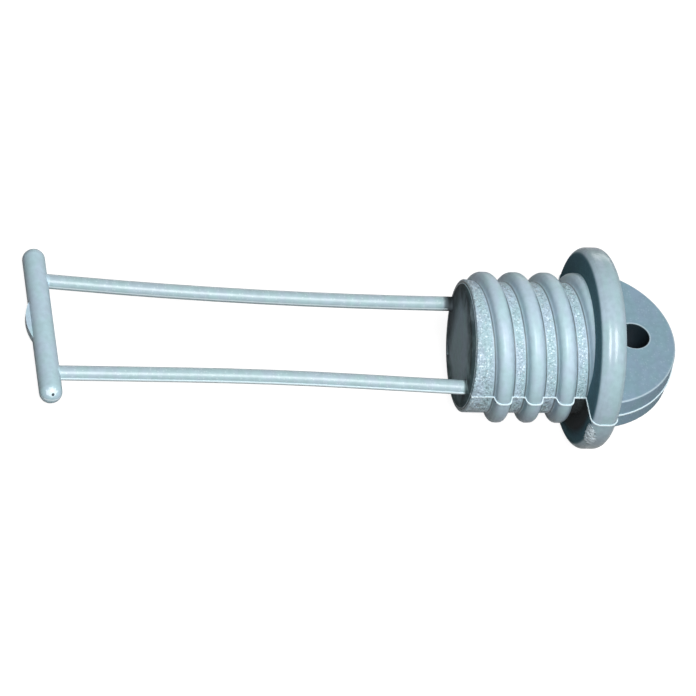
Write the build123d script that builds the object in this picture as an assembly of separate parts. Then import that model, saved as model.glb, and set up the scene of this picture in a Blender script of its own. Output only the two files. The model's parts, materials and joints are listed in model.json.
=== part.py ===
from build123d import *
import math
import os

# Captive boat drain plug, one flexible moulding.
# It is laid out along X: the seat face of the flange is at x = 0, the screw barrel, the legs and the
# cross bar lie towards -X and the finger tab towards +X. The mould parts in the XY plane.
# At the end the plug is tipped to lie on its bar and its flange, standing on z = 0.

# Barrel, from the seat face to its outer shoulder
core_radius = 10.32
barrel_length = 18.55

# Collar at the outer end of the barrel, a little wider and off the axis
collar_radius = 10.5
collar_length = 2.4
collar_lift = 0.15
collar_ledge = 0.6
shoulder_round = 0.3

# Low boss inside the collar's ledge, from which the legs grow. It stands higher on the near side.
boss_radius = collar_radius - collar_ledge
boss_height = 0.38
boss_slope = 0.5
boss_round = 0.55
boss_skew = 1.2
boss_root = 1.2

# Coarse right-hand screw thread with one start
thread_pitch = 5.0
thread_height = 1.55
thread_foot_width = 2.85
thread_flank_angle = 15.0
thread_crest_round = 1.0
thread_foot_round = 0.35
thread_end_gap = 2.3
thread_end_angle = 200.0
thread_runout_angle = 38.0
thread_runout_cover = 0.3
thread_sink = 0.6
thread_root_half = 2.2
thread_root_dip = 0.035

# Flange, pulled down on the drain fitting
flange_radius = 15.95
flange_thickness = 4.2
seat_rim_round = 1.4
tab_rim_round = 1.45

# Half-round finger tab with a lanyard hole
tab_reach = 11.5
tab_radius = 14.25
tab_thickness = 6.1
tab_draft = 2.3
tab_edge_round = 0.3
hole_radius = 2.54
hole_setback = 4.7
hole_edge_round = 0.2

# Two round legs that carry the cross bar
leg_radius = 1.15
leg_root_depth = 2.0
far_leg_root = 9.03
far_leg_shift = 0.28
near_leg_root = 8.55
near_leg_shift = 2.1
leg_bend_place = 0.47

# Share of the shorter run that each leg's bend takes up
far_bend_share = 0.9
near_bend_share = 0.4

# Cross bar, which stops the plug from being pulled out of the hull
bar_distance = 84.55
bar_radius = 1.79
bar_length = 30.44
bar_sway = 3.6
bar_skew = 1.0
bar_end_flat = 0.12
far_leg_on_bar = 9.25
near_leg_on_bar = 9.7

# Half-moon gate mark on the outside of the bar
gate_length = 7.0
gate_rise = 0.7
gate_width = 1.1
gate_place = 0.6

# Thin flash ridge where the mould halves met
flash_reach = 0.15
flash_thickness = 0.2


def flange_outline(extra):
    # Half of the flange's section, grown by extra on its outside.
    return FilletPolyline(
        (-extra, 0),
        (-extra, flange_radius + extra),
        (flange_thickness + extra, flange_radius + extra),
        (flange_thickness + extra, 0),
        radius=[0, seat_rim_round + extra, tab_rim_round + extra, 0],
        close=True,
    )


def core():
    # Plain cylinder from the collar into the flange.
    start = collar_length - barrel_length
    end = flange_thickness / 2
    outline = Polyline((start, 0), (start, core_radius), (end, core_radius), (end, 0), close=True)
    return revolve(make_face(outline), Axis.X)


def collar():
    # Flare from the round core to the shoulder, whose centre lies a little up and away.
    outer = Plane(origin=(-barrel_length, collar_lift, collar_lift), z_dir=(1, 0, 0))
    inner = Plane(origin=(collar_length - barrel_length, 0, 0), z_dir=(1, 0, 0))
    flare = loft([outer * Circle(collar_radius), inner * Circle(core_radius)])
    rim = flare.edges().sort_by(Axis.X)[0]
    return fillet(rim, min(shoulder_round, collar_ledge / 2))


def boss():
    outline = FilletPolyline(
        (-boss_height, 0),
        (-boss_height, boss_radius - boss_slope),
        (0, boss_radius),
        (boss_root, boss_radius),
        (boss_root, 0),
        radius=[0, boss_round, boss_round, 0, 0],
        close=True,
    )
    disc = revolve(make_face(outline), Axis.X)
    return Pos(-barrel_length, collar_lift, collar_lift) * Rot(0, -boss_skew, -boss_skew) * disc


def ridge_outline(extra):
    # Section of one thread ridge, radius first, with its foot on a ledge just under the core's skin.
    foot = thread_foot_width / 2 + extra
    crest = foot - thread_height * math.tan(math.radians(thread_flank_angle))
    ledge = core_radius - thread_root_dip
    inner = core_radius - thread_sink
    outer = core_radius + thread_height + extra
    return FilletPolyline(
        (inner, -thread_root_half),
        (ledge, -thread_root_half),
        (ledge, -foot),
        (outer, -crest),
        (outer, crest),
        (ledge, foot),
        (ledge, thread_root_half),
        (inner, thread_root_half),
        radius=[0, 0, thread_foot_round, thread_crest_round, thread_crest_round, thread_foot_round, 0, 0],
        close=True,
    )


def thread():
    # The helix starts inside the flange and dives into the core near the outer shoulder.
    begin = flange_thickness / 2
    run = begin + barrel_length - thread_end_gap
    section = Plane.XZ * make_face(ridge_outline(0))
    full = sweep(section, Helix(thread_pitch, run, core_radius), is_frenet=True)
    dive = thread_height + thread_runout_cover
    advance = thread_pitch * thread_runout_angle / 360
    cone = math.degrees(math.atan2(dive, advance))
    cone_pitch = thread_pitch / math.cos(math.radians(cone))
    spiral = Helix(cone_pitch, advance, core_radius, cone_angle=-cone)
    runout = sweep(section, spiral, is_frenet=True)
    runout = Pos(0, 0, run) * Rot(0, 0, 360 * run / thread_pitch) * runout
    start = math.radians(thread_end_angle - 360 * run / thread_pitch)
    seat = Plane(
        origin=(begin, 0, 0),
        x_dir=(0, -math.cos(start), math.sin(start)),
        z_dir=(-1, 0, 0),
    )
    return [seat.location * full, seat.location * runout]


def tab_disc(extra):
    # Half disc of the tab in the parting plane, grown by extra, with its straight side inside the flange.
    root = flange_thickness / 2
    middle = flange_thickness + tab_reach - tab_radius
    disc = Pos(middle, 0) * Circle(tab_radius + extra)
    clip = Pos(root, 0) * Rectangle(2 * tab_radius, 4 * tab_radius, align=(Align.MIN, Align.CENTER))
    return disc & clip


def tab():
    # The disc is drafted both ways from the parting plane.
    upper = extrude(tab_disc(0), tab_thickness / 2, taper=tab_draft)
    half = upper + mirror(upper, Plane.XY)
    flats = half.faces().filter_by(Axis.Z)
    rims = flats.edges().filter_by(GeomType.CIRCLE)
    half = fillet(rims, tab_edge_round)
    bore = Pos(flange_thickness + hole_setback, 0, 0) * Cylinder(hole_radius, 2 * tab_thickness)
    half = half - bore
    mouths = half.edges().filter_by(GeomType.CIRCLE).filter_by(
        lambda edge: abs(edge.radius - hole_radius) < 1e-6
    )
    return fillet(mouths, hole_edge_round)


def leg_path(side, root, shift, share, on_bar):
    # Two nearly straight runs joined by one long bend, ending inside the barrel and the bar.
    face = -barrel_length - boss_height
    inside = (face + leg_root_depth, side * root)
    free = bar_distance + face
    bend = (face - leg_bend_place * free, side * root + shift)
    tip_y = bar_sway + side * on_bar
    tip = (-bar_distance - side * on_bar * math.tan(math.radians(bar_skew)), tip_y)
    first = Vector(*bend) - Vector(*inside)
    second = Vector(*tip) - Vector(*bend)
    turn = math.radians(first.get_angle(second))
    tangent = share * min(first.length, second.length)
    return FilletPolyline(inside, bend, tip, radius=tangent / math.tan(turn / 2))


def leg(path):
    section = Plane(origin=path @ 0, z_dir=path % 0) * Circle(leg_radius)
    return sweep(section, path)


def leg_flash(path):
    start = Plane(origin=path @ 0, x_dir=(0, 0, 1), z_dir=path % 0)
    section = start * Rectangle(flash_thickness, 2 * (leg_radius + flash_reach))
    return sweep(section, path)


def gate_mark():
    # Thin half moon in the parting plane, with its chord inside the bar.
    half = gate_length / 2
    radius = (half ** 2 + gate_rise ** 2) / (2 * gate_rise)
    disc = Pos(radius - bar_radius - gate_rise, gate_place) * Circle(radius)
    clip = Pos(-bar_radius / 2, gate_place) * Rectangle(
        2 * radius, 2 * radius, align=(Align.MAX, Align.CENTER)
    )
    return extrude(disc & clip, gate_width / 2, both=True)


def cross_bar():
    # Round rod along Y with domed ends, turned by its small skew.
    half = bar_length / 2
    end_round = bar_radius - bar_end_flat
    outline = FilletPolyline(
        (0, -half),
        (bar_radius, -half),
        (bar_radius, half),
        (0, half),
        radius=[0, end_round, end_round, 0],
        close=True,
    )
    rod = revolve(make_face(outline), Axis.Y)
    place = Pos(-bar_distance, bar_sway, 0) * Rot(0, 0, bar_skew)
    return [place * rod, place * gate_mark()]


def ridge_flash(angle):
    # Flash over the thread ridges on one side, where the helix crosses the parting plane.
    turns = thread_pitch * (thread_end_angle - angle) / 360
    first = thread_end_gap - barrel_length + turns
    ridge = make_face(ridge_outline(flash_reach))
    places = [first + thread_pitch * count for count in range(int(-first / thread_pitch) + 1)]
    return [Pos(place, 0) * Rot(0, 0, angle - 90) * ridge for place in places]


def body_flash():
    width = 2 * (core_radius + flash_reach)
    sheet = Rectangle(barrel_length, width, align=(Align.MAX, Align.CENTER))
    rim = make_face(flange_outline(flash_reach))
    sheet += [rim, mirror(rim, Plane.XZ), tab_disc(flash_reach)]
    sheet += ridge_flash(0) + ridge_flash(180)
    bore = Pos(flange_thickness + hole_setback, 0) * Circle(hole_radius + flash_reach)
    return extrude(sheet - bore, flash_thickness / 2, both=True)


def resting_tilt():
    # Angle at which the bar and the seat-side rim of the flange both touch the ground.
    reach = bar_distance + seat_rim_round
    drop = flange_radius - seat_rim_round
    lift = bar_radius - seat_rim_round
    span = math.hypot(reach, drop)
    return math.degrees(math.atan2(drop, reach) - math.asin(lift / span))


def drain_plug():
    far = leg_path(1, far_leg_root, far_leg_shift, far_bend_share, far_leg_on_bar)
    near = leg_path(-1, near_leg_root, near_leg_shift, near_bend_share, near_leg_on_bar)
    plug = core() + revolve(make_face(flange_outline(0)), Axis.X)
    plug += collar()
    for piece in [boss(), tab(), *thread(), leg(far), leg(near), *cross_bar()]:
        plug += piece
    for piece in [body_flash(), leg_flash(near)]:
        plug += piece
    return plug


def stand(shape):
    tipped = Rot(0, -resting_tilt(), 0) * shape
    box = tipped.bounding_box()
    middle = box.center()
    return Pos(-middle.X, -middle.Y, -box.min.Z) * tipped


os.makedirs("parts", exist_ok=True)
plug = stand(drain_plug())
export_step(plug, "parts/drain_plug.step")
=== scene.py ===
import json
import math

import bpy
from mathutils import Matrix, Vector

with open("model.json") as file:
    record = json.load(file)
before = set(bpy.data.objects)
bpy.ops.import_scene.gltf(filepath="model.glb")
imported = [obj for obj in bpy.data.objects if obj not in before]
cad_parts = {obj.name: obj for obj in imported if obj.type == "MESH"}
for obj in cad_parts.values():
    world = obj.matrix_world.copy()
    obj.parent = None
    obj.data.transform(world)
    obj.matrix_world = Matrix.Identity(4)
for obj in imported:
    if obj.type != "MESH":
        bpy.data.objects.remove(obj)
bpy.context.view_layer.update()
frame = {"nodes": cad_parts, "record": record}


# Places on the plug, in millimetres. x runs along the barrel from the flange's seat face, y across, z up
# through the tab. The mould parted at z = 0.
MM_PER_M = 1000
CORE_RADIUS = 10.32
BARREL_END = -18.55
BAR_X = -84.55
FLANGE_BACK = 4.2
RIM_RADIUS = 15.95
FLASH_HALF = 0.1

# Lanyard hole and the finger tab's half disc
HOLE_X = 8.9
HOLE_RADIUS = 2.54
TAB_MIDDLE = 1.45
TAB_EDGE = 14.0
TAB_FACE = 2.9

# The thread's ridges: pitch, place of one ridge on the near side, and where a foot's crevice lies from it
THREAD_PITCH = 5.0
RIDGE_X = -13.47
CREVICE_PLACE = 1.6
THREAD_START = -2.3

# The boss on the barrel's end, about its own axis
BOSS_OFF_AXIS = 0.15
BOSS_RADIUS = 9.9

# Camera of the photograph, in the same millimetres, with its clipping in metres
PHOTO_SIZE = 696
FOCAL_PIXELS = 3800
SENSOR_WIDTH = 36
EYE = Vector((-162.587, -382.137, 436.322))
LOOK_RIGHT = Vector((0.97722, -0.13197, 0.16619))
LOOK_UP = Vector((-0.00985, 0.75406, 0.65673))
CLIP_START = 0.01
CLIP_END = 20

# Studio light, in metres. The lamps' directions are in the plug's own axes.
KEY_DIRECTION = Vector((0.02, -0.585, 0.81))
KEY_SIZE = (0.28, 0.42)
KEY_WATTS = 6.8
FILL_DIRECTION = Vector((0.25, 0.95, 0))
FILL_SIZE = (0.5, 0.3)
FILL_WATTS = 1.05
LAMP_DISTANCE = 0.7
WORLD_STRENGTH = 0.024

# White floor, in metres. Its glow rises from the near distance to the far one.
FLOOR_HALF = 3
FLOOR_NEAR = 0.2
FLOOR_FAR = 0.6
FLOOR_GLOW = 0.93
FLOOR_FAR_GLOW = 1.0
FLOOR_SHADE = 0.2
FLOOR_PALE = 0.65
FLOOR_BOUNCE = 0.03

# Plug colours, linear. PALE also paints the glints and the edge highlights, and the scar's white also
# paints the highlight on the bar's end.
WHITE = (1, 1, 1, 1)
BLACK = (0, 0, 0, 1)
PLASTIC = (0.43, 0.575, 0.65, 1)
PLASTIC_TEAL = (0.395, 0.585, 0.625, 1)
PLASTIC_LILAC = (0.445, 0.565, 0.68, 1)
PALE = (0.74, 0.86, 0.90, 1)
SCAR_AND_HIGHLIGHT_WHITE = (0.80, 0.93, 1.0, 1)

# Tints, which multiply the plastic's colour. Those of the seat, the end face and the hole paint light and
# shade on them.
TAB_TINT = (0.49, 0.55, 0.60, 1)
RIM_TINT = (0.82, 0.83, 0.82, 1)
LEG_TINT = (0.86, 0.85, 0.82, 1)
END_MIDDLE_LIGHT = (1.15, 1.12, 1.10, 1)
END_EDGE_SHADE = (0.06, 0.08, 0.08, 1)
SEAT_SHADE = (0.17, 0.29, 0.32, 1)
HOLE_SHADE = (0.02, 0.04, 0.05, 1)
HOLE_LIT_TINT = (0.22, 0.42, 0.44, 1)

# Gloss of the surface
SPECULAR_LEVEL = 0.35
SMOOTH_ROUGHNESS = 0.36
RIM_ROUGHNESS = 0.22
GRAIN_ROUGHNESS = 0.28
LEG_ROUGHNESS = 0.3
MATT_ROUGHNESS = 0.6
DULL_ROUGHNESS = 0.95
PATCHES_PER_MM = 0.8
PATCH_ROUGHNESS = 0.05

# Faint drift of colour over the moulding, and its finer mottle
DRIFT_PER_MM = 0.22
DRIFT_STRETCH = (2.5, 1, 1)
DRIFT_CONTRAST = (0.35, 0.65)
DRIFT_SHARE = 0.6
MOTTLE_PER_MM = 1.1
MOTTLE_SHARE = 0.1
SOFT_CONTRAST = (0.3, 0.7)

# Spark-eroded grain in the thread's valleys, and the bloom on every surface
GRAIN_PER_MM = 4.4
GRAIN_LEAN = 0.95
BLOOM_PER_MM = 1.6
BLOOM_DEPTH = 0.006

# Painted glints: pale specks that stand in for sparkles of light. Their radii are in cell sizes, and their
# shares are of the full strength.
GLINTS_PER_MM = 2.4
GLINT_RADII = (0.42, 0.2)
GLINT_EDGE = 0.05
GLINTS_KEPT = 0.4
GLINT_SHARE = 0.75
SEAT_GLINTS = 0.7
SMOOTH_GLINTS = 0.4

# How fully each region takes its paint
CREVICE_SHADE_SHARE = 0.8
PAINTED_SHADE_SHARE = 0.95
LEG_ROOT_SHADOW_SHARE = 0.75
EDGE_HIGHLIGHT_SHARE = 0.35
FLASH_SHARE = 0.8
BAR_END_HIGHLIGHT_SHARE = 0.6

# Streaks that wander over the painted shade at the edge of the barrel's end
STREAKS_PER_MM = 1.4
STREAK_STRETCH = (1, 0.35, 0.35)
STREAK_WANDER = 5.0

# Shallow ledge round the flange's rim
LEDGE_X = (1.85, 2.5)
LEDGE_RISE = 0.045

# Torn place on the seat side of the flange's rim
SCAR_PLACE = (0.3, -15.0, -3.7)
SCAR_REACH = (1.3, 1.1, 2.7)
SCAR_RAGS_PER_MM = 2.0
TORN_PER_MM = 1.6
TORN_DEPTH = 0.45
CRUMBS_PER_MM = 2.4
CRUMB_CONTRAST = (0.32, 0.42)

# Painted highlight on the near end of the bar, with a small pit painted dark as shade
BAR_END_HIGHLIGHT_PLACE = (-84.35, -11.0, 1.2)
BAR_END_HIGHLIGHT_REACH = (0.9, 0.75, 0.75)
PIT_PLACE = (-84.2, -11.25, 0.95)
PIT_REACH = (0.26, 0.26, 0.26)
BAR_END_RAGS_PER_MM = 3.0

# Rim of a ragged region, in shares of its reach
RAGGED_RIM = (1.6, 1.35)

# Limits of the painted regions, in millimetres: where each one's mask is 0 and where it is 1
BARREL_START = (BARREL_END - 0.1, BARREL_END + 0.1)
BARREL_STOP = (0.1, -0.1)
THREAD_BEGINS = (THREAD_START, THREAD_START + 0.1)
THREAD_STOPS = (THREAD_START + 0.1, THREAD_START)
VALLEY_SIDE = (CREVICE_PLACE + 0.15, CREVICE_PLACE + 0.35)
VALLEY_DEPTH = (11.3, 10.6)
CREVICE_WIDTH = (0.22, 0)
CREVICE_DEPTH = (CORE_RADIUS + 0.7, CORE_RADIUS + 0.4)
END_FACE_NEAR = (BARREL_END - 0.05, BARREL_END - 0.15)
END_FACE_FAR = (BARREL_END - 1.3, BARREL_END - 0.8)
END_EDGE = (7.5, 12.5)
GROOVE_RADIUS = BOSS_RADIUS + 0.1
GROOVE_WIDTH = (0.2, 0.05)
GROOVE_NEAR = (BARREL_END + 0.2, BARREL_END + 0.1)
GROOVE_FAR = (BARREL_END - 0.3, BARREL_END - 0.2)
LEG_START = (BARREL_END - 0.5, BARREL_END - 0.7)
LEG_END = (BAR_X + 1.7, BAR_X + 1.9)
LEG_ROOT_SIDE = (3, 7)
LEG_ROOT_FAR = (BARREL_END - 1.9, BARREL_END - 1.3)
LEG_ROOT_NEAR = (BARREL_END, BARREL_END - 0.2)
SEAT_NEAR = (-0.05, 0)
SEAT_FAR = (0.25, 0.02)
SEAT_INSIDE = (CORE_RADIUS + 0.05, CORE_RADIUS + 0.2)
SHADE_BELOW = (0.3, -0.5)
SHADE_ALONG = (-3.2, -1.6)
SHADE_OUT = (14.4, 12.6)
RIM_OUTSIDE = (RIM_RADIUS - 0.5, RIM_RADIUS - 0.1)
RIM_SIDE = (0, 0.3)
BEHIND_FLANGE = (FLANGE_BACK - 0.1, FLANGE_BACK + 0.1)
TAB_FLAT = (TAB_FACE - 0.1, TAB_FACE + 0.1)
TAB_CORNER = (TAB_FACE - 0.05, TAB_FACE + 0.05)
TAB_ROUND = (TAB_EDGE - 0.2, TAB_EDGE)
HOLE_WALL = (HOLE_RADIUS + 0.15, HOLE_RADIUS + 0.02)
HOLE_LIP = (HOLE_RADIUS + 0.35, HOLE_RADIUS + 0.15)
HOLE_UNLIT = (HOLE_X - 2.2, HOLE_X)
FLASH_WIDTH = (FLASH_HALF + 0.04, FLASH_HALF)
FLASH_OFF_HOLE = (HOLE_RADIUS + 0.1, HOLE_RADIUS + 0.2)


def mount(name):
    for row in frame["record"]["mounts"]:
        if row["name"] == name:
            return row


def plug_frame():
    # The plug's own axes in the row frame, with the middle of the seat face as their origin.
    hole = mount("lanyard_hole")
    through = Vector(hole["axis"]).normalized()
    along = Vector((0, 1, 0)).cross(through).normalized()
    turn = Matrix((along, through.cross(along), through)).transposed()
    seat = Vector(hole["pos_m"]) - along * HOLE_X / MM_PER_M
    return Matrix.Translation(seat) @ turn.to_4x4()


def add_object(name, data):
    obj = bpy.data.objects.new(name, data)
    bpy.context.scene.collection.objects.link(obj)
    return obj


def add_camera(plug):
    data = bpy.data.cameras.new("camera")
    data.sensor_width = SENSOR_WIDTH
    data.lens = SENSOR_WIDTH * FOCAL_PIXELS / PHOTO_SIZE
    data.clip_start = CLIP_START
    data.clip_end = CLIP_END
    camera = add_object("camera", data)
    right = LOOK_RIGHT.normalized()
    back = right.cross(LOOK_UP).normalized()
    turn = Matrix((right, back.cross(right), back)).transposed()
    camera.matrix_world = plug @ Matrix.Translation(EYE / MM_PER_M) @ turn.to_4x4()
    bpy.context.scene.camera = camera


def make_node(tree, kind, settings=None, **inputs):
    # Inputs are named by socket, or numbered as _0, _1 and so on. Each is a value or another's output.
    made = tree.nodes.new(kind)
    for key, value in (settings or {}).items():
        setattr(made, key, value)
    for key, value in inputs.items():
        socket = made.inputs[int(key[1:]) if key[0] == "_" else key.replace("_", " ")]
        if isinstance(value, bpy.types.NodeSocket):
            tree.links.new(value, socket)
        else:
            socket.default_value = value
    return made


def math_node(tree, operation, *values):
    inputs = {"_%d" % place: value for place, value in enumerate(values)}
    return make_node(tree, "ShaderNodeMath", {"operation": operation}, **inputs).outputs[0]


def fold(tree, operation, values):
    result = values[0]
    for value in values[1:]:
        result = math_node(tree, operation, result, value)
    return result


def product(tree, *values):
    return fold(tree, "MULTIPLY", values)


def largest(tree, *values):
    return fold(tree, "MAXIMUM", values)


def total(tree, *values):
    return fold(tree, "ADD", values)


def difference(tree, first, second):
    return math_node(tree, "SUBTRACT", first, second)


def distance(tree, first, second):
    return math_node(tree, "ABSOLUTE", difference(tree, first, second))


def span(tree, first, second):
    # Length of the vector with these two components.
    squares = [product(tree, value, value) for value in (first, second)]
    return math_node(tree, "SQRT", total(tree, *squares))


def vector_math(tree, operation, *values):
    inputs = {"_%d" % place: value for place, value in enumerate(values)}
    return make_node(tree, "ShaderNodeVectorMath", {"operation": operation}, **inputs).outputs


def ramp(tree, value, start, end):
    # Smooth rise from 0 at start to 1 at end.
    return make_node(
        tree,
        "ShaderNodeMapRange",
        {"interpolation_type": "SMOOTHSTEP"},
        Value=value,
        From_Min=start,
        From_Max=end,
    ).outputs[0]


def mix_value(tree, share, first, second):
    return make_node(tree, "ShaderNodeMix", _0=share, _2=first, _3=second).outputs[0]


def mix_colour(tree, share, first, second, blend="MIX"):
    settings = {"data_type": "RGBA", "blend_type": blend}
    return make_node(tree, "ShaderNodeMix", settings, _0=share, _6=first, _7=second).outputs[2]


def tinted(tree, share, colour, tint):
    return mix_colour(tree, share, colour, mix_colour(tree, 1.0, colour, tint, "MULTIPLY"))


def noise(tree, place, scale, detail=2.0, stretch=None):
    if stretch:
        place = make_node(tree, "ShaderNodeMapping", Vector=place, Scale=stretch).outputs[0]
    return make_node(tree, "ShaderNodeTexNoise", Vector=place, Scale=scale, Detail=detail).outputs[0]


def cells_of(tree, place, scale):
    return make_node(tree, "ShaderNodeTexVoronoi", Vector=place, Scale=scale).outputs


def facets(tree, place, scale):
    # Height of small flats, one in each cell, each leaning its own way.
    cells = cells_of(tree, place, scale)
    lean = vector_math(tree, "SUBTRACT", cells["Color"], (0.5, 0.5, 0.5))[0]
    inside = vector_math(tree, "SUBTRACT", place, cells["Position"])[0]
    return vector_math(tree, "DOT_PRODUCT", lean, inside)["Value"]


def dots(tree, place, scale, kept):
    # Small round spots in this share of the cells, 1 in the middle of each.
    cells = cells_of(tree, place, scale)
    pick = make_node(tree, "ShaderNodeSeparateColor", Color=cells["Color"]).outputs[0]
    chosen = ramp(tree, pick, 1 - kept, 1 + GLINT_EDGE - kept)
    return product(tree, ramp(tree, cells["Distance"], *GLINT_RADII), chosen)


def ragged_mask(tree, place, middle, reach, rags_per_mm):
    # An ellipsoid whose edge is broken up by noise.
    settings = {"vector_type": "TEXTURE"}
    moved = make_node(tree, "ShaderNodeMapping", settings, Vector=place, Location=middle, Scale=reach)
    away = vector_math(tree, "LENGTH", moved.outputs[0])["Value"]
    return ramp(tree, total(tree, away, noise(tree, place, rags_per_mm)), *RAGGED_RIM)


def new_tree(name):
    material = bpy.data.materials.new(name)
    material.use_nodes = True
    material.node_tree.nodes.clear()
    return material, material.node_tree


def floor_glow(tree):
    corner = make_node(tree, "ShaderNodeTexCoord").outputs["Object"]
    x, y, z = make_node(tree, "ShaderNodeSeparateXYZ", Vector=corner).outputs
    far = ramp(tree, span(tree, x, y), FLOOR_NEAR, FLOOR_FAR)
    strength = mix_value(tree, far, FLOOR_GLOW, FLOOR_FAR_GLOW)
    return make_node(tree, "ShaderNodeEmission", Color=WHITE, Strength=strength).outputs[0]


def floor_material():
    # White to the eye with a faint shadow, pale with its whole shadow in reflections, and dark for the
    # light that it throws back.
    material, tree = new_tree("floor")
    rays = make_node(tree, "ShaderNodeLightPath").outputs
    mirrored = largest(tree, rays["Is Glossy Ray"], rays["Is Transmission Ray"])
    shade, pale, bounce = [
        make_node(tree, "ShaderNodeBsdfDiffuse", Color=(grey, grey, grey, 1)).outputs[0]
        for grey in (FLOOR_SHADE, FLOOR_PALE, FLOOR_BOUNCE)
    ]
    white = make_node(tree, "ShaderNodeAddShader", _0=shade, _1=floor_glow(tree)).outputs[0]
    mix = make_node(tree, "ShaderNodeMixShader", _0=mirrored, _1=bounce, _2=pale).outputs[0]
    mix = make_node(tree, "ShaderNodeMixShader", _0=rays["Is Camera Ray"], _1=mix, _2=white).outputs[0]
    make_node(tree, "ShaderNodeOutputMaterial", Surface=mix)
    return material


def add_floor():
    half = FLOOR_HALF
    mesh = bpy.data.meshes.new("floor")
    corners = [(-half, -half, 0), (half, -half, 0), (half, half, 0), (-half, half, 0)]
    mesh.from_pydata(corners, [], [(0, 1, 2, 3)])
    mesh.materials.append(floor_material())
    add_object("floor", mesh)


def add_world():
    # White where it is seen, straight or mirrored, and dim as a light.
    world = bpy.data.worlds.new("world")
    bpy.context.scene.world = world
    world.use_nodes = True
    tree = world.node_tree
    tree.nodes.clear()
    rays = make_node(tree, "ShaderNodeLightPath").outputs
    seen = largest(tree, rays["Is Camera Ray"], rays["Is Glossy Ray"], rays["Is Transmission Ray"])
    strength = mix_value(tree, seen, WORLD_STRENGTH, 1.0)
    background = make_node(tree, "ShaderNodeBackground", Color=WHITE, Strength=strength)
    make_node(tree, "ShaderNodeOutputWorld", Surface=background.outputs[0])


def add_lamp(plug, name, direction, size, watts):
    lamp = bpy.data.lights.new(name, "AREA")
    lamp.shape = "RECTANGLE"
    lamp.size, lamp.size_y = size
    lamp.energy = watts
    direction = (plug.to_3x3() @ direction).normalized()
    place = Matrix.Translation(direction * LAMP_DISTANCE)
    add_object(name, lamp).matrix_world = place @ direction.to_track_quat("Z", "Y").to_matrix().to_4x4()


def add_light(plug):
    add_world()
    add_lamp(plug, "key", KEY_DIRECTION, KEY_SIZE, KEY_WATTS)
    add_lamp(plug, "fill", FILL_DIRECTION, FILL_SIZE, FILL_WATTS)


def plug_places(tree, plug):
    # Millimetres along the plug's axes, the distance from the axes of the barrel, the boss, the hole and
    # the tab, and how far a place lies along the barrel from the thread's ridges.
    corner = make_node(tree, "ShaderNodeTexCoord").outputs["Object"]
    place = make_node(
        tree,
        "ShaderNodeMapping",
        {"vector_type": "TEXTURE"},
        Vector=corner,
        Location=plug.to_translation(),
        Rotation=plug.to_euler(),
        Scale=[1 / MM_PER_M] * 3,
    ).outputs[0]
    x, y, z = make_node(tree, "ShaderNodeSeparateXYZ", Vector=place).outputs
    turns = math_node(tree, "DIVIDE", math_node(tree, "ARCTAN2", z, product(tree, y, -1)), math.tau)
    advance = math_node(tree, "MULTIPLY_ADD", turns, THREAD_PITCH, difference(tree, x, RIDGE_X))
    return {
        "place": place,
        "x": x,
        "y": y,
        "z": z,
        "height": math_node(tree, "ABSOLUTE", z),
        "barrel": span(tree, y, z),
        "advance": advance,
        "ridge": math_node(tree, "PINGPONG", advance, THREAD_PITCH / 2),
        "boss": span(tree, *[difference(tree, value, BOSS_OFF_AXIS) for value in (y, z)]),
        "hole": span(tree, difference(tree, x, HOLE_X), y),
        "tab": span(tree, difference(tree, x, TAB_MIDDLE), y),
    }


def barrel_masks(tree, at):
    # The thread's valleys, and the painted shade in the crevice at each foot of its ridges and in the
    # groove round the boss.
    x = at["x"]
    on_barrel = product(tree, ramp(tree, x, *BARREL_START), ramp(tree, x, *BARREL_STOP))
    valley_floor = largest(
        tree,
        ramp(tree, at["ridge"], *VALLEY_SIDE),
        ramp(tree, at["advance"], *THREAD_STOPS),
    )
    foot = product(
        tree,
        on_barrel,
        ramp(tree, distance(tree, at["ridge"], CREVICE_PLACE), *CREVICE_WIDTH),
        ramp(tree, at["barrel"], *CREVICE_DEPTH),
        ramp(tree, at["advance"], *THREAD_BEGINS),
    )
    groove = product(
        tree,
        ramp(tree, distance(tree, at["boss"], GROOVE_RADIUS), *GROOVE_WIDTH),
        ramp(tree, x, *GROOVE_NEAR),
        ramp(tree, x, *GROOVE_FAR),
    )
    return {
        "valley": product(tree, on_barrel, valley_floor, ramp(tree, at["barrel"], *VALLEY_DEPTH)),
        "crevice shade": largest(tree, foot, groove),
    }


def end_masks(tree, at):
    # The barrel's end face, and the wandering edge of painted shade on it.
    x = at["x"]
    streaks = noise(tree, at["place"], STREAKS_PER_MM, detail=4, stretch=STREAK_STRETCH)
    off_middle = math_node(tree, "MULTIPLY_ADD", streaks, STREAK_WANDER, at["boss"])
    return {
        "end": product(tree, ramp(tree, x, *END_FACE_NEAR), ramp(tree, x, *END_FACE_FAR)),
        "end edge shade": ramp(tree, off_middle, *END_EDGE),
    }


def flange_masks(tree, at):
    x, barrel = at["x"], at["barrel"]
    return {
        "seat": product(
            tree,
            ramp(tree, x, *SEAT_NEAR),
            ramp(tree, x, *SEAT_FAR),
            ramp(tree, barrel, *SEAT_INSIDE),
        ),
        "rim": product(tree, ramp(tree, barrel, *RIM_OUTSIDE), ramp(tree, x, *RIM_SIDE)),
    }


def tab_masks(tree, at):
    # The tab, the wall of its hole, and the painted highlights on the edges round it and the hole.
    height, hole = at["height"], at["hole"]
    beyond_flange = ramp(tree, at["x"], *BEHIND_FLANGE)
    beside_hole = product(
        tree,
        beyond_flange,
        ramp(tree, height, *TAB_FLAT),
        ramp(tree, hole, *HOLE_LIP),
    )
    tab_edge = product(
        tree,
        beyond_flange,
        ramp(tree, at["tab"], *TAB_ROUND),
        ramp(tree, height, *TAB_CORNER),
    )
    return {
        "tab": beyond_flange,
        "hole": product(tree, beyond_flange, ramp(tree, hole, *HOLE_WALL)),
        "edge highlight": largest(tree, beside_hole, tab_edge),
    }


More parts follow.
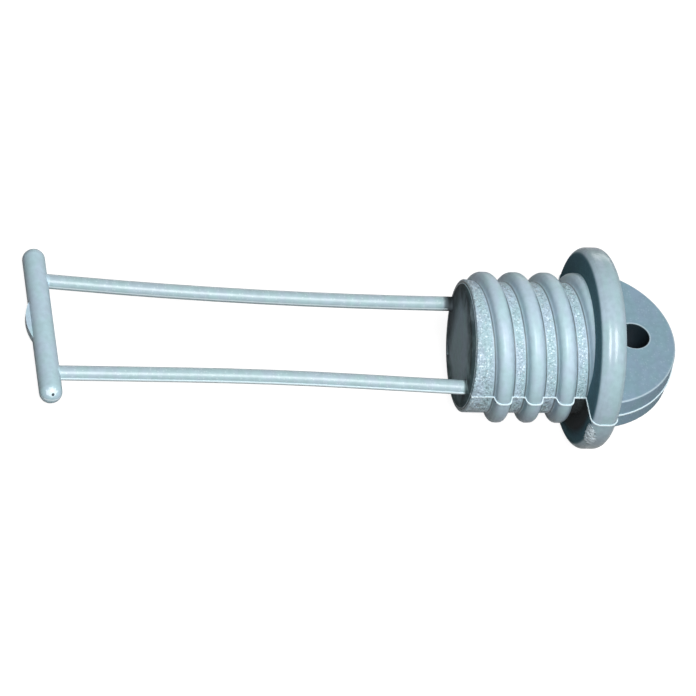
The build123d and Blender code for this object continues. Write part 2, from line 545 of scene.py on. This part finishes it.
def painted_shade_mask(tree, at):
    # Painted shade where the flange overhangs the barrel's underside, and a painted shadow at the far
    # leg's root.
    x = at["x"]
    under_flange = product(
        tree,
        ramp(tree, at["z"], *SHADE_BELOW),
        ramp(tree, x, *SHADE_ALONG),
        ramp(tree, x, *SEAT_FAR),
        ramp(tree, at["barrel"], *SHADE_OUT),
    )
    leg_root = product(
        tree,
        ramp(tree, at["y"], *LEG_ROOT_SIDE),
        ramp(tree, x, *LEG_ROOT_FAR),
        ramp(tree, x, *LEG_ROOT_NEAR),
    )
    return largest(tree, under_flange, product(tree, leg_root, LEG_ROOT_SHADOW_SHARE))


def flash_mask(tree, at, end_face):
    return product(
        tree,
        ramp(tree, at["height"], *FLASH_WIDTH),
        ramp(tree, at["hole"], *FLASH_OFF_HOLE),
        difference(tree, 1, end_face),
    )


def region_masks(tree, at):
    x, place = at["x"], at["place"]
    masks = {
        "painted shade": painted_shade_mask(tree, at),
        "leg": product(tree, ramp(tree, x, *LEG_START), ramp(tree, x, *LEG_END)),
        "bar end highlight": ragged_mask(tree, place, BAR_END_HIGHLIGHT_PLACE, BAR_END_HIGHLIGHT_REACH, BAR_END_RAGS_PER_MM),
        "pit": ragged_mask(tree, place, PIT_PLACE, PIT_REACH, BAR_END_RAGS_PER_MM),
        "scar": ragged_mask(tree, place, SCAR_PLACE, SCAR_REACH, SCAR_RAGS_PER_MM),
    }
    for make_masks in (barrel_masks, end_masks, flange_masks, tab_masks):
        masks.update(make_masks(tree, at))
    masks["flash"] = flash_mask(tree, at, masks["end"])
    return masks


def clean_colour(tree, place):
    # The bare plastic, with its drift and its mottle.
    drift = noise(tree, place, DRIFT_PER_MM, stretch=DRIFT_STRETCH)
    tints = mix_colour(tree, ramp(tree, drift, *DRIFT_CONTRAST), PLASTIC_TEAL, PLASTIC_LILAC)
    colour = mix_colour(tree, DRIFT_SHARE, PLASTIC, tints)
    mottle = ramp(tree, noise(tree, place, MOTTLE_PER_MM, detail=4), *SOFT_CONTRAST)
    dull = mix_colour(tree, product(tree, mottle, MOTTLE_SHARE), WHITE, BLACK)
    return mix_colour(tree, 1.0, colour, dull, "MULTIPLY")


def painted_glint_colour(tree, place, masks, colour):
    on_smooth = product(tree, largest(tree, masks["tab"], masks["leg"]), SMOOTH_GLINTS)
    on_seat = product(tree, masks["seat"], SEAT_GLINTS)
    where = largest(tree, on_seat, masks["valley"], on_smooth)
    # Pale specks painted as glints on the valleys, the seat, the tab and the legs
    glints = product(tree, dots(tree, place, GLINTS_PER_MM, GLINTS_KEPT), where, GLINT_SHARE)
    return mix_colour(tree, glints, colour, PALE)


def tinted_colour(tree, masks, colour):
    # The seat's tint is painted shade on the face behind the thread
    for name, tint in (("tab", TAB_TINT), ("rim", RIM_TINT), ("leg", LEG_TINT), ("seat", SEAT_SHADE)):
        colour = tinted(tree, masks[name], colour, tint)
    # The end face is painted lighter in its middle and nearly black towards its wandering edge, as painted
    # light and shade
    return tinted(tree, masks["end"], colour, mix_colour(tree, masks["end edge shade"], END_MIDDLE_LIGHT, END_EDGE_SHADE))


def marked_colour(tree, masks, colour):
    # The painted shade in the crevices and under the flange, the painted highlights on the edges, and the
    # flash.
    marks = (
        ("crevice shade", CREVICE_SHADE_SHARE, BLACK),
        ("painted shade", PAINTED_SHADE_SHARE, BLACK),
        ("edge highlight", EDGE_HIGHLIGHT_SHARE, PALE),
        ("flash", FLASH_SHARE, PALE),
    )
    for name, share, paint in marks:
        colour = mix_colour(tree, product(tree, masks[name], share), colour, paint)
    return colour


def scar_and_highlight_colour(tree, place, masks, colour):
    # The scar, the painted highlight on the bar's end, and its pit painted dark as shade.
    crumbs = ramp(tree, noise(tree, place, CRUMBS_PER_MM, detail=4), *CRUMB_CONTRAST)
    colour = mix_colour(tree, masks["scar"], colour, mix_colour(tree, crumbs, SEAT_SHADE, SCAR_AND_HIGHLIGHT_WHITE))
    colour = mix_colour(tree, product(tree, masks["bar end highlight"], crumbs, BAR_END_HIGHLIGHT_SHARE), colour, SCAR_AND_HIGHLIGHT_WHITE)
    return mix_colour(tree, masks["pit"], colour, HOLE_SHADE)


def plastic_colour(tree, at, masks):
    place = at["place"]
    colour = clean_colour(tree, place)
    colour = painted_glint_colour(tree, place, masks, colour)
    colour = tinted_colour(tree, masks, colour)
    colour = marked_colour(tree, masks, colour)
    # Painted shade on the wall of the lanyard hole, nearly black away from the flange, with a painted lit
    # side towards it
    hole = mix_colour(tree, ramp(tree, at["x"], *HOLE_UNLIT), HOLE_LIT_TINT, HOLE_SHADE)
    colour = tinted(tree, masks["hole"], colour, hole)
    return scar_and_highlight_colour(tree, place, masks, colour)


def plastic_roughness(tree, at, masks):
    end_edge = product(tree, masks["end"], masks["end edge shade"])
    stages = (
        (masks["valley"], GRAIN_ROUGHNESS),
        (masks["rim"], RIM_ROUGHNESS),
        (masks["leg"], LEG_ROUGHNESS),
        (masks["tab"], MATT_ROUGHNESS),
        (masks["end"], MATT_ROUGHNESS),
        (largest(tree, masks["painted shade"], end_edge, masks["seat"]), DULL_ROUGHNESS),
        (largest(tree, masks["scar"], masks["flash"]), MATT_ROUGHNESS),
    )
    rough = SMOOTH_ROUGHNESS
    for mask, roughness in stages:
        rough = mix_value(tree, mask, rough, roughness)
    patchy = ramp(tree, noise(tree, at["place"], PATCHES_PER_MM, detail=3), *SOFT_CONTRAST)
    return total(tree, rough, product(tree, patchy, PATCH_ROUGHNESS))


def plastic_bump(tree, at, masks):
    # Heights in millimetres: a fine bloom all over, the grain of the valleys, the torn scar and the ledge.
    place = at["place"]
    bloom = product(tree, noise(tree, place, BLOOM_PER_MM, detail=3), BLOOM_DEPTH)
    grain = product(tree, facets(tree, place, GRAIN_PER_MM), masks["valley"], GRAIN_LEAN)
    torn = product(tree, noise(tree, place, TORN_PER_MM, detail=4), masks["scar"], TORN_DEPTH)
    ledge = product(tree, ramp(tree, at["x"], *LEDGE_X), masks["rim"], LEDGE_RISE)
    height = total(tree, bloom, grain, torn, ledge)
    return make_node(tree, "ShaderNodeBump", Height=height, Distance=1 / MM_PER_M).outputs[0]


def plastic_material(plug):
    material, tree = new_tree("plug_plastic")
    at = plug_places(tree, plug)
    masks = region_masks(tree, at)
    surface = make_node(
        tree,
        "ShaderNodeBsdfPrincipled",
        Base_Color=plastic_colour(tree, at, masks),
        Roughness=plastic_roughness(tree, at, masks),
        Specular_IOR_Level=SPECULAR_LEVEL,
        Normal=plastic_bump(tree, at, masks),
    )
    make_node(tree, "ShaderNodeOutputMaterial", Surface=surface.outputs[0])
    return material


def dress(node, material):
    for slot in node.material_slots:
        slot.material = material


plug = plug_frame()
add_camera(plug)
add_floor()
add_light(plug)
plastic = plastic_material(plug)
for node in frame["nodes"].values():
    dress(node, plastic)

bpy.context.scene.view_settings.view_transform = "Standard"
